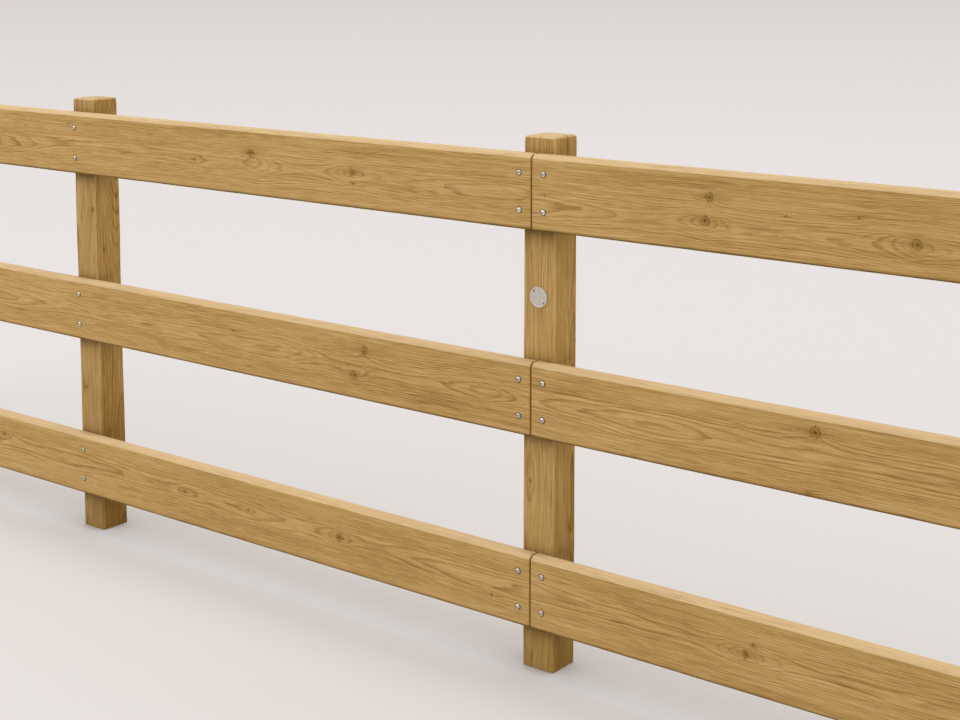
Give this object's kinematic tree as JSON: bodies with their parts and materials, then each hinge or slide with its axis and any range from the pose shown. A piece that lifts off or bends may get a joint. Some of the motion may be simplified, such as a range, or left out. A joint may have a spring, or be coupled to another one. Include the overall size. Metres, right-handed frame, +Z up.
{
  "type": "timber post and rail fence",
  "caption": "Timber fence of square posts and wide horizontal rails screwed to the front, with a round badge on the centre post.",
  "frame": {"origin": "middle of the centre post's foot, at ground level", "axes": "+X along the fence to the right seen from the front, -Y out of the front where the rails are, +Z up"},
  "size_m": [7.3, 0.1405, 1.42],
  "materials": {
    "post_timber": "planed softwood, clear oiled, vertical grain with dark drying checks",
    "rail_timber": "planed softwood, clear oiled, flat sawn figure with knots",
    "screw_steel": "dull stainless steel",
    "badge_metal": "brushed steel disc, blank",
    "pin_steel": "dark steel nail heads"
  },
  "bodies": {
    "root": {"post_1": "post_timber", "post_2": "post_timber", "post_3": "post_timber", "post_4": "post_timber", "post_5": "post_timber", "bottom_rail_left": "rail_timber", "bottom_rail_right": "rail_timber", "middle_rail_left": "rail_timber", "middle_rail_right": "rail_timber", "top_rail_left": "rail_timber", "top_rail_right": "rail_timber", "bottom_rail_screws_post_1": "screw_steel", "middle_rail_screws_post_1": "screw_steel", "top_rail_screws_post_1": "screw_steel", "bottom_rail_screws_post_2": "screw_steel", "middle_rail_screws_post_2": "screw_steel", "top_rail_screws_post_2": "screw_steel", "bottom_rail_screws_post_4": "screw_steel", "middle_rail_screws_post_4": "screw_steel", "top_rail_screws_post_4": "screw_steel", "bottom_rail_screws_post_5": "screw_steel", "middle_rail_screws_post_5": "screw_steel", "top_rail_screws_post_5": "screw_steel", "bottom_rail_screws_joint_left": "screw_steel", "middle_rail_screws_joint_left": "screw_steel", "top_rail_screws_joint_left": "screw_steel", "bottom_rail_screws_joint_right": "screw_steel", "middle_rail_screws_joint_right": "screw_steel", "top_rail_screws_joint_right": "screw_steel", "badge": "badge_metal", "badge_pins": "pin_steel"}
  },
  "joints": []
}
